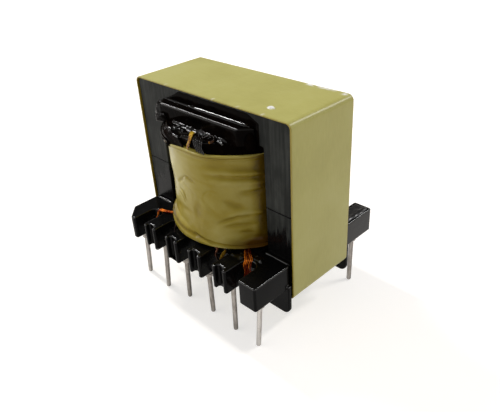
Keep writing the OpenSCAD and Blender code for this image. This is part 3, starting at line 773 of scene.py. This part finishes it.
def lead(slot, pin, angle, strands, diameter, turned_back, arch, dive, aside, shade):
    """Wire ends from under the coil, over the deck, down through a slot and along to a pin, and their tint marks."""
    slot_x = (FRONT_PINS[slot - 1].x + FRONT_PINS[slot].x) / 2
    pin_x = FRONT_PINS[pin - 1].x
    toward = copysign(1, pin_x - slot_x)
    radius, gap = diameter / 2, 0.11
    a = radians(angle)
    start = (COIL_R - 0.7 - diameter) * Vector((sin(a), -cos(a)))
    entry = Vector((slot_x + aside, -dive))
    run = (entry - start).normalized()
    across = Vector((-run.y, run.x)) * (-1 if run.y > 0 else 1)
    shapes, tint = [], []
    for i in range(strands):
        shift = (i - (strands - 1) / 2) * (diameter + gap)
        rank = strands - 1 - i if toward > 0 else i
        turn = RAIL_LOW - radius - 0.05 - rank * (diameter + 0.06)
        p = start + across * (shift * 0.6)
        q = start.lerp(entry, 0.55) + across * (shift * 0.8)
        c = entry + across * (shift * 0.95)
        wobble = rng.uniform(-0.05, 0.05)
        drop = slot_x + shift
        points = [(p.x, p.y, DECK + radius + 0.02), (q.x + wobble, q.y, DECK + radius + arch + rng.uniform(0, 0.08)),
                  (c.x, c.y + 0.25, DECK + radius * 0.8), (c.x + wobble, c.y - 0.15, DECK - 0.6),
                  (drop, -(dive + PIN_Y) / 2 - 0.15, DECK - 1.7), (drop, -PIN_Y, RAIL_LOW + 0.9),
                  (drop, -PIN_Y, turn + 0.45), (drop + toward * 0.15, -PIN_Y, turn + 0.1),
                  (drop + toward * 0.5, -PIN_Y, turn), (pin_x - toward * 0.9, -PIN_Y, turn)]
        if turned_back:
            points = [(-x, -y, z) for x, y, z in points]
        shapes.append(strand(points, radius))
        strand_shade = shade + (i * 7 % 5) * 0.09 - 0.12
        for x, y, z in shapes[-1][0]:
            inward = entry.length - hypot(x, y)
            # Darker down in the slot and further in under the coil.
            soaked = 0.5 * ease(DECK + 0.1, DECK - 2, z) + 0.28 * ease(0.6, 1.8, inward)
            tint.append(strand_shade + soaked)
    return join(shapes), tint


# Node, slot, pin, angle under the coil, strands, diameter, turned to the back, rise over the deck, where it dives into
# the slot, how far to the slot's side, and shade
LEADS = [("lead_1", 1, 1, -43, 2, 0.24, False, 0.06, 9.95, 0.1, 0),
         ("lead_3", 2, 3, -29.5, 1, 0.4, False, 0.05, 10.6, 0, 0.25),
         ("lead_4", 4, 4, 22, 1, 0.4, False, 0.05, 11.3, -0.5, 0.18),
         ("lead_6", 5, 6, 47.5, 5, 0.17, False, 0.06, 9.95, -0.75, -0.14),
         ("lead_7", 1, 1, -46, 5, 0.32, True, 0.08, 10, 0.3, 0),
         ("lead_9", 2, 3, -29, 5, 0.32, True, 0.08, 10.4, 0, 0),
         ("lead_10", 4, 4, 28, 1, 0.4, True, 0.05, 10.6, 0, 0.1),
         ("lead_12", 5, 6, 43, 2, 0.4, True, 0.08, 10, -0.1, 0)]
SOAKED_LEADS = ("lead_3", "lead_4", "lead_10")
for node, *route in LEADS:
    shape, tint = lead(*route)
    piece(node + "_wire", shape, SOAKED if node in SOAKED_LEADS else COPPER, (node,), tint=tint)


# ---- soldered wraps

def solder_wrap(centre, seed):
    """Turns of wire round a pin, drawn together by solder."""
    rows, sides, length, turns, least_radius = 26, 28, 1.7, 4, 0.46
    verts = []
    for i in range(rows):
        t = i / (rows - 1)
        z = RAIL_LOW - 0.02 - length * t
        body = 0.74 * sin(min(1, (0.06 + t) * 3.2) * pi / 2) * (1 - max(0, t - 0.78) ** 1.6 * 3.4)
        body -= 0.055 * cos(t * turns * 2 * pi)
        for c, s in around(sides):
            radius = max(least_radius, body + 0.05 * wander(c * 1.3 + seed, s * 1.3, z * 1.1))
            verts.append((centre.x + radius * c, centre.y + radius * s, z))
    return verts, turned(capped_grid(rows, sides))


shape = join([solder_wrap(middle("pin_%d" % k), k) for k in (1, 3, 4, 6, 7, 9, 10, 12)])
piece("solder_wraps", shape, TIN, ("solder_joints",))


# ---- wires and tape ends on the ledge

RIM = COIL_HIGH + 0.1 - LEDGE  # where wires end on the coil's rim, from the ledge up
# Bundles of strands on the ledge: the first strand's points, and the step from each strand to the next
BUNDLE = [((-6.9, -8.7, 0.25), (0.42, -0.04, 0)), ((-5.6, -9.55, 0.62), (0.28, -0.2, -0.04)),
          ((-4.5, -10.3, 0.62), (0.1, -0.24, -0.12)), ((-3.1, -10.9, 0.42), (0, -0.15, -0.24)),
          ((-1.8, -11.2, 0.06), (0, -0.1, -0.28)), ((-0.6, -11.35, -0.36), (0, -0.02, -0.18)),
          ((0.2, -11.4, RIM), (0, 0, 0))]
FAN = [((1.6, -9.3, 0.25), (0.22, -0.03, 0)), ((1.95, -10.1, 0.55), (0.36, -0.02, -0.03)),
       ((2.2, -10.85, 0.46), (0.43, 0, -0.05)), ((2.6, -11.2, 0.08), (0.43, -0.02, -0.07)),
       ((3, -11.3, -0.42), (0.4, 0, -0.05)), ((3.2, -11.25, RIM), (0.36, 0, 0))]
LOOP = [(2.6, -9.3, 0.12), (3.1, -8.8, 0.42), (3.8, -8.65, 0.52), (4.5, -8.95, 0.4), (4.75, -9.4, 0.26),
        (4.6, -9.75, 0.2)]
LOOP_END = [(4.75, -9.4, 0.27), (4.65, -9.72, 0.2), (4.4, -9.95, 0.14)]
STRIP = [(0, -9, 0.25), (0.5, -9.7, 0.52), (1.15, -10.5, 0.5), (1.5, -11, 0.25), (1.52, -11.25, -0.2),
         (1.3, -11.35, -0.75), (1.2, -11.4, RIM + 0.05)]


def on_ledge(points):
    return [(x, y, LEDGE + z) for x, y, z in points]


def bundle(table, count, radius):
    return [strand(on_ledge(Vector(p) + i * Vector(step) for p, step in table), radius) for i in range(count)]


def slope_reach(a):
    """Distance of the upper flange's edge from the coil's axis, at an angle from the front."""
    if tan(abs(a)) * FLANGE_REACH <= FLANGE_FRONT:
        return FLANGE_REACH / cos(a)
    n = Vector((FLANGE_REACH - FLANGE_SHOULDER, FLANGE_SIDE - FLANGE_FRONT))
    return Vector((FLANGE_FRONT, FLANGE_REACH)).dot(n) / Vector((abs(sin(a)), cos(a))).dot(n)


def slope_strand(i, count):
    """A strand along the flange's left slope; the first lies near the flange and the last on the coil's rim."""
    t = i / (count - 1)
    points = []
    for angle in (-58, -48, -38, -29, -21, -14):
        a = radians(angle)
        r = slope_reach(a) + 0.1
        r += (COIL_R - 0.12 - r) * (0.15 + 0.85 * t) + 0.1 * wander(angle * 0.09, i * 1.7, 3)
        z = 0.2 - (LEDGE + 0.05 - COIL_HIGH) * t + 0.12 * wander(angle * 0.11, i * 2.3, 8)
        points.append((r * sin(a), -r * cos(a), z))
    return strand(on_ledge(points), 0.11)


def ribbon(points, width, thick, side, waves=0.03):
    """A thin strip of tape along a path, as a closed solid with rounded edges."""
    path = curve_points(points, 8)
    side = Vector(side).normalized()
    across = (-0.42, -0.2, 0, 0.2, 0.42)
    profile = [(-0.5, 0), *((a, 0.5) for a in across), (0.5, 0), *((a, -0.5) for a in reversed(across))]
    verts = []
    for i, (p, t) in enumerate(zip(path, directions(path))):
        s = (side - t * side.dot(t)).normalized()
        n = s.cross(t)
        for a, b in profile:
            wave = waves * wander(i * 0.35, a * 2.5, width)
            verts.append(tuple(p + s * (a * width) + n * (b * thick + wave)))
    return verts, capped_grid(len(path), len(profile))


shape = join(bundle(BUNDLE, 5, 0.14) + [slope_strand(i, 4) for i in range(4)])
piece("ledge_strands", shape, DARK, ("link_wire_1", "link_wire_2", "link_wire_3"))
piece("ledge_fan", join(bundle(FAN, 5, 0.095)), BARE)
piece("ledge_loop", strand(on_ledge(LOOP), 0.18, 8, 12), DARK)
shape = strand(on_ledge(LOOP_END), 0.185, 6, 12)
piece("ledge_loop_end", shape, AMBER, tint=[0.1] * len(shape[0]))

shape = ribbon(on_ledge(STRIP), 0.72, 0.14, (1, -0.25, 0.1), 0.06)
tint = [np.interp(y, [-11.35, -10.4], [0.02, -0.1]) for _, y, _ in shape[0]]
piece("ledge_tape_strip", shape, AMBER, ("tape_tab",), tint=tint)
x = box_mm("slot_tab")[1].x
strip = [(x - 0.5, -10.6, DECK + 0.12), (x - 0.3, -11.3, DECK + 0.1), (x - 0.14, -11.9, DECK - 0.35),
         (x - 0.09, -12.3, DECK - 1.1), (x - 0.09, -12.4, DECK - 2.2)]
piece("slot_tape_strip", ribbon(strip, 1, 0.12, (0.3, -1, 0.2)), AMBER, ("slot_tab",))


# ---- set varnish

DECK_LEFT, DECK_RIGHT, DECK_BACK = 3.6, 13, 7.6
BLOCK_LEFT, BLOCK_RIGHT, BLOCK_BACK, BLOCK_FRONT = -15.98, -12.92, 6.85, 13.95  # the back right block, seen from behind
BEAD_Y, BEAD_Z = -6.6, DECK - 0.05  # where the core stands on the deck
# Drips on the ledge: both ends, and the radius
DRIPS = [((-4.7, -10.3, 0.4), (-3.1, -10.65, 0.4), 0.28), ((-2.1, -11.2, 0.17), (-0.7, -11.3, 0.11), 0.22),
         ((-4.1, -8.45, 0.4), (-2.6, -8.4, 0.4), 0.22), ((1.9, -8.35, 0.4), (3.2, -8.4, 0.4), 0.22),
         ((5, -8.95, 0.15), (6.3, -8.95, 0.07), 0.25)]


def heap(grid_x, grid_t, front, back, height, floor):
    """A lumpy sheet of varnish from a straight line at the back to a front line, closed underneath."""
    columns = []
    for x in grid_x:
        places = [(t, -(back + (front(x) - back) * t)) for t in grid_t]
        columns.append([((x, y, floor), (x, y, height(x, y, t))) for t, y in places])
    return shell(columns)


def ledge_front(x):
    """Just inside the upper flange's front edge."""
    return np.interp(abs(x), [FLANGE_FRONT, FLANGE_SIDE], [FLANGE_REACH, FLANGE_SHOULDER]) - 0.12


def ledge_height(x, y, t):
    lumps = 0.22 * max(0, wander(x * 0.8, y * 0.9, 2)) + 0.2 * max(0, wander(x * 1.7, y * 1.7, 7))
    rise = 0.5 * hump(t * 2.75, 0, 0.4) * (0.75 + 0.5 * wander(x * 0.5, 1, 4))
    at_wires = 0.22 * hump(x, -5.4, 1.7) * hump(y, -9.2, 0.8) + 0.3 * hump(x, 1.4, 1) * hump(y, -9.6, 0.6)
    thin = 0.12 * ease(0.86, 1, t) * (lumps * 4 + 0.3)
    return LEDGE - 0.04 + (0.09 + lumps + rise + at_wires - thin) * ease(6.9, 5.4, abs(x))


def deck_front(x):
    """Varnish lies on the tops of the teeth and stops short of the slots between them."""
    pitch = FRONT_PINS[1].x - FRONT_PINS[0].x
    return 9.3 + 1.5 * ease(1.45, 1.9, min(abs(x - pitch), abs(x - 2 * pitch)))


def deck_height(x, y, t):
    lumps = 0.3 * max(0, wander(x * 0.9, y * 1.1, 12)) + 0.3 * max(0, wander(x * 1.6, y * 1.6, 5))
    edge = ease(0, 0.25, min(t, 1 - t)) * ease(0, 0.8, min(x - DECK_LEFT, DECK_RIGHT - x))
    return DECK - 0.03 + (0.07 + lumps) * edge


def block_height(x, y, t):
    """Varnish that set in streaks."""
    depth = BLOCK_FRONT - BLOCK_BACK
    streaks = 0.24 * max(0, wander(x * 0.9, y * 0.45, 31)) + 0.06 * wander(x * 2.2, y * 1.1, 17)
    streaks += 0.15 * hump(x, -15.2, 0.42) * (0.7 + 0.6 * wander(y * 0.5, 6, 2))
    edge = ease(0, 0.6, min(x - BLOCK_LEFT, BLOCK_RIGHT - x, (1 - t) * depth, t * depth))
    return DECK - 0.06 + (0.1 + streaks) * edge


def yoke_film():
    """Film on the yoke's front face, whose ragged upper edge slopes down towards both ends."""
    face, low = -core_hi.y, core_hi.z - 4.55
    left, right, margin = -11.7, 10.75, 0.02
    columns = []
    for x in np.linspace(left, right, 150):
        drop = max(0, (-6 - x) * 0.52, (x - 8.6) * 0.45)
        high = core_hi.z - 0.35 - drop + 0.1 * wander(x * 0.9, 3, 1)
        columns.append([])
        for z in low + (high - low) * np.linspace(0, 1, 34):
            inside = min(high - z, x - left + margin, right + margin - x) + margin
            thick = (0.035 + 0.03 * wander(x * 0.5, z * 0.8, 8)) * ease(0, 0.3, inside)
            columns[-1].append(((x, face - 0.012 - thick, z), (x, face + 0.1, z)))
    return shell(columns)


def collar_fillet():
    """Varnish set in the corner between the collar's top and the yoke."""
    left, right, seed = -9.4, 9.2, 4
    foot_tilt, tilt_change = 46, 34  # degrees, from the collar up to the yoke
    columns = []
    for x in np.linspace(left, right, 110):
        ends = ease(0, 0.9, min(x - left, right - x))
        wide = (0.5 + 0.1 * wander(x * 0.45, seed, 0)) * (0.35 + 0.65 * ends) * (0.55 + 0.45 * ease(-4.5, -1, x))
        columns.append([])
        for t in np.linspace(0, 1, 12):
            y = -COLLAR_BACK + 0.08 - wide * (1 - t)
            slopes = tan(radians(foot_tilt)) + tan(radians(foot_tilt - tilt_change * t))
            rise = wide * 0.5 * t * slopes * (0.3 + 0.7 * ends)
            columns[-1].append(((x, y, COLLAR_TOP - 0.01 + rise), (x, y, COLLAR_TOP - 0.2)))
    return shell(columns)


def varnish_skirt(first, last, out_share, hang_share, seed):
    """Varnish that ran over a slope of the upper flange, down to the rim of the coil."""
    columns = []
    for angle in np.linspace(first, last, 90):
        a = radians(angle)
        out = Vector((sin(a), -cos(a), 0))
        slope = slope_reach(a)
        edge = ease(0, 7, min(angle - first, last - angle))
        hang = (0.35 + 0.3 * wander(angle * 0.12, 2, seed)) * edge * hang_share
        spare = min(COIL_R - 0.02, (COIL_X - 0.05) / max(abs(sin(a)), 1e-6)) - slope
        lower = spare * out_share
        profile = [(-0.5, LEDGE + 0.06), (-0.1, LEDGE + 0.1), (0.1, LEDGE - 0.05),
                   (min(0.25, 0.3 * spare), LEDGE - 0.4), (lower * (0.3 + 0.45 * edge), LEDGE - 0.8),
                   (lower * (0.35 + 0.65 * edge), COIL_HIGH + 0.1), (lower * (0.35 + 0.63 * edge), COIL_HIGH - hang)]
        path = curve_points([(slope + r, 0, z) for r, z in profile], 5)
        columns.append([])
        for k, q in enumerate(path):
            lump = 0.07 * wander(angle * 0.22, q.z * 1.4, seed + 4) + 0.06 * wander(angle * 0.6, q.z * 2.2, seed + 9)
            lump *= min(1, k / 4, (len(path) - 1 - k) / 3)
            columns[-1].append((tuple(out * (q.x + lump) + Vector((0, 0, q.z + 0.5 * lump))),
                                tuple(out * (q.x - 0.16) + Vector((0, 0, q.z - 0.12)))))
    verts, faces = shell(columns)
    return verts, turned(faces)


def bead(start, end, radius_y, radius_z, seed):
    """A rounded bead of varnish along a line, thinning at its ends."""
    start, end = Vector(start), Vector(end)
    rows, sides, verts = 90, 16, []
    for i in range(rows):
        t = i / (rows - 1)
        p = start.lerp(end, t)
        swell = min(1, 0.08 + sin(t * pi) * 4) * (1 + 0.45 * wander(p.x * 0.9, seed, 0))
        verts += [(p.x, p.y + radius_y * swell * c, p.z + radius_z * swell * s) for c, s in around(sides)]
    return verts, capped_grid(rows, sides)


def blob(centre, radii, seed):
    """A lump of set varnish."""
    rows, columns, verts = 26, 40, []
    for i in range(rows):
        p = pi * (i + 0.5) / rows
        for c, s in around(columns):
            x, y, z = sin(p) * c, sin(p) * s, cos(p)
            swell = 1 + 0.16 * wander(x * 1.7 + seed, y * 1.7, z * 1.7) + 0.1 * wander(x * 4, y * 4 + seed, z * 4)
            verts.append(tuple(m + d * r * swell for m, d, r in zip(centre, (x, y, z), radii)))
    return verts, turned(capped_grid(rows, columns))


def block_varnish():
    verts, faces = heap(np.linspace(BLOCK_LEFT, BLOCK_RIGHT, 44), np.linspace(0, 1, 70), lambda x: BLOCK_FRONT,
                        BLOCK_BACK, block_height, DECK - 0.2)
    return [(-x, -y, z) for x, y, z in verts], faces


for name, mat, *shapes in (
        ("ledge_varnish", THICK, heap(np.linspace(-6.85, 6.85, 120), runs((0, 0.3, 12), (0.34, 0.98, 18)), ledge_front,
                                      COLLAR_FRONT - 0.04, ledge_height, LEDGE - 0.15)),
        ("yoke_varnish", FILM, yoke_film()),
        ("varnish_beads", BEAD, *(bead((x_low, BEAD_Y, BEAD_Z), (x_high, BEAD_Y, BEAD_Z), 0.24, 0.2, seed)
                                  for x_low, x_high, seed in ((-15.9, -11.5, 7), (11, 16, 9)))),
        ("ledge_drips", BEAD, *(bead(*on_ledge(ends), r, r, i) for i, (*ends, r) in enumerate(DRIPS))),
        ("collar_fillet", BEAD, collar_fillet()),
        ("ledge_varnish_run", DULL, varnish_skirt(-63, -6, 1, 1, 0), varnish_skirt(19, 63, 0.62, 0, 5)),
        ("collar_varnish", VARNISH, blob((-9.1, -7.3, 32.5), (1.6, 1.1, 1.7), 2),
         blob((-8.4, -8.3, 31.9), (1.3, 0.9, 0.8), 6)),
        ("collar_varnish_right", DULL, blob((9.5, -6.9, 32.2), (0.9, 0.75, 1.5), 9)),
        ("deck_varnish", BEAD, heap(np.linspace(DECK_LEFT, DECK_RIGHT, 110), np.linspace(0, 1, 26), deck_front,
                                    DECK_BACK, deck_height, DECK - 0.12)),
        ("block_varnish", HAZY, block_varnish())):
    piece(name, join(shapes), mat, sharp=80)


# ---- inner coil, seen only from below

def winding(inner, outer, low, high, pitch, depth):
    """Turns side by side round the coil, between two outlines given as half width, half depth and radius."""
    rows, columns = int((high - low) / pitch * 6), 96
    verts = []

    def ring(half_x, half_y, radius, z):
        for c, s in around(columns):
            reach = min(radius, half_x / max(abs(s), 1e-6), half_y / max(abs(c), 1e-6))
            verts.append((reach * s, -reach * c, z))

    for i in range(rows):
        z = low + (high - low) * i / (rows - 1)
        dip = depth * (1 - abs(sin(pi * (z - low) / pitch)))
        ring(*(v - dip for v in outer), z)
    ring(*inner, high)
    ring(*inner, low)
    return verts, loop_grid(rows + 2, columns, closed_rows=True)


# Piece, node, inner and outer outline, pitch, depth of the grooves, and material. The wrap draws in over these layers,
# so they are a little smaller than their nodes.
LAYERS = [
    ("outer_turns", "primary_outer", (8.92, 10.42, 10.64), (10.5, 10.8, 10.8), 0.42, 0.05, COPPER),
    ("outer_insulation", "insulation_outer", (8.72, 10.22, 10.52), (8.9, 10.4, 10.62), 2, 0.01, AMBER),
    ("secondary_turns", "secondary_winding", (7.42, 8.92, 10.12), (8.7, 10.2, 10.5), 0.5, 0.05, COPPER)]
for name, node, inner, outer, pitch, depth, mat in LAYERS:
    shape = winding(inner, outer, COIL_LOW + 0.2, COIL_HIGH - 0.3, pitch, depth)
    piece(name, shape, mat, (node,), sharp=80)
for node, mat in (("primary_inner", COPPER), ("insulation_inner", AMBER)):
    nodes[node].data.materials.clear()
    nodes[node].data.materials.append(mat)


# ---- floor, light and camera

def floor_material():
    """Warm white that looks paler to the camera and in reflections than it lights the part."""
    mat = bpy.data.materials.new("floor_white")
    mat.use_nodes = True
    tree = mat.node_tree
    tree.nodes.clear()
    white = Value(add(tree, "BsdfDiffuse", {"Color": (0.62, 0.585, 0.545, 1)}))
    rays = add(tree, "LightPath")
    seen = Value(rays, "Is Camera Ray").at_least(Value(rays, "Is Glossy Ray"))
    seen = seen.at_least(Value(rays, "Is Transmission Ray"))
    fill = Value(add(tree, "Emission", {"Color": (1, 1, 1, 1), "Strength": seen * 0.6}))
    add(tree, "OutputMaterial", {0: Value(add(tree, "AddShader", {0: white, 1: fill}))})
    return mat


FLOOR_HALF = 3.0  # metres
floor_mesh = bpy.data.meshes.new("studio_floor")
floor_mesh.from_pydata([(x * FLOOR_HALF, y * FLOOR_HALF, 0) for x, y in ((-1, -1), (1, -1), (1, 1), (-1, 1))], [],
                       [(0, 1, 2, 3)])
floor_mesh.materials.append(floor_material())
floor = placed("studio_floor", floor_mesh)

world = bpy.data.worlds.new("studio")
world.use_nodes = True
tree = world.node_tree
height = Value(add(tree, "SeparateXYZ", {0: Value(add(tree, "TexCoord"), "Generated")}), "Z")
sky = ramp(height * 0.5 + 0.5, (0.5, (0.66, 0.62, 0.57)), (0.57, (0.6, 0.565, 0.53)), (0.66, (0.22, 0.21, 0.2)),
           (0.84, 0.22), (0.95, 0.4))
tree.links.new(sky.socket, tree.nodes["Background"].inputs["Color"])
scene.world = world

LAMP_AIM, LAMP_DISTANCE = Vector((0, 0, 22)), 390


def area_light(name, direction, size, power, along):
    """A lamp that faces the part from a direction; its first size runs along an axis as nearly as it can."""
    data = configure(bpy.data.lights.new(name, "AREA"), shape="RECTANGLE", size=size[0] * MM, size_y=size[1] * MM,
                     energy=power)
    z = Vector(direction).normalized()
    x = (Vector(along) - z * z.dot(Vector(along))).normalized()
    turn = Matrix((x, z.cross(x), z)).transposed()
    placed(name, data).matrix_world = Matrix.Translation((z * LAMP_DISTANCE + LAMP_AIM) * MM) @ turn.to_4x4()


area_light("key_left", (-0.68, -0.02, 0.733), (130, 27), 0.86, (1, 0, 0))
area_light("key_right", (0.38, 0.65, 0.66), (150, 22), 0.6, (0, 1, 0))
area_light("fill", (-0.53, -0.79, 0.44), (560, 340), 0.66, (1, 0, 0))
area_light("side", (0.8, 0.5, 0.33), (300, 200), 0.1, (0, 1, 0))

# Camera solved from the corners of the taped core in the photo
CAMERA_PLACE = Vector((58.078, -53.416, 62.618))
CAMERA_AXES = Matrix(((0.70796, 0.70419, -0.05403), (-0.33208, 0.39942, 0.85451), (0.62331, -0.58701, 0.51662)))
camera_data = configure(bpy.data.cameras.new("photo_camera"), sensor_fit="HORIZONTAL", sensor_width=36, lens=38.788,
                        clip_start=0.005, clip_end=20)
scene.camera = placed("photo_camera", camera_data)
scene.camera.matrix_world = Matrix.Translation(CAMERA_PLACE * MM) @ CAMERA_AXES.transposed().to_4x4()
scene.view_settings.view_transform = "Standard"
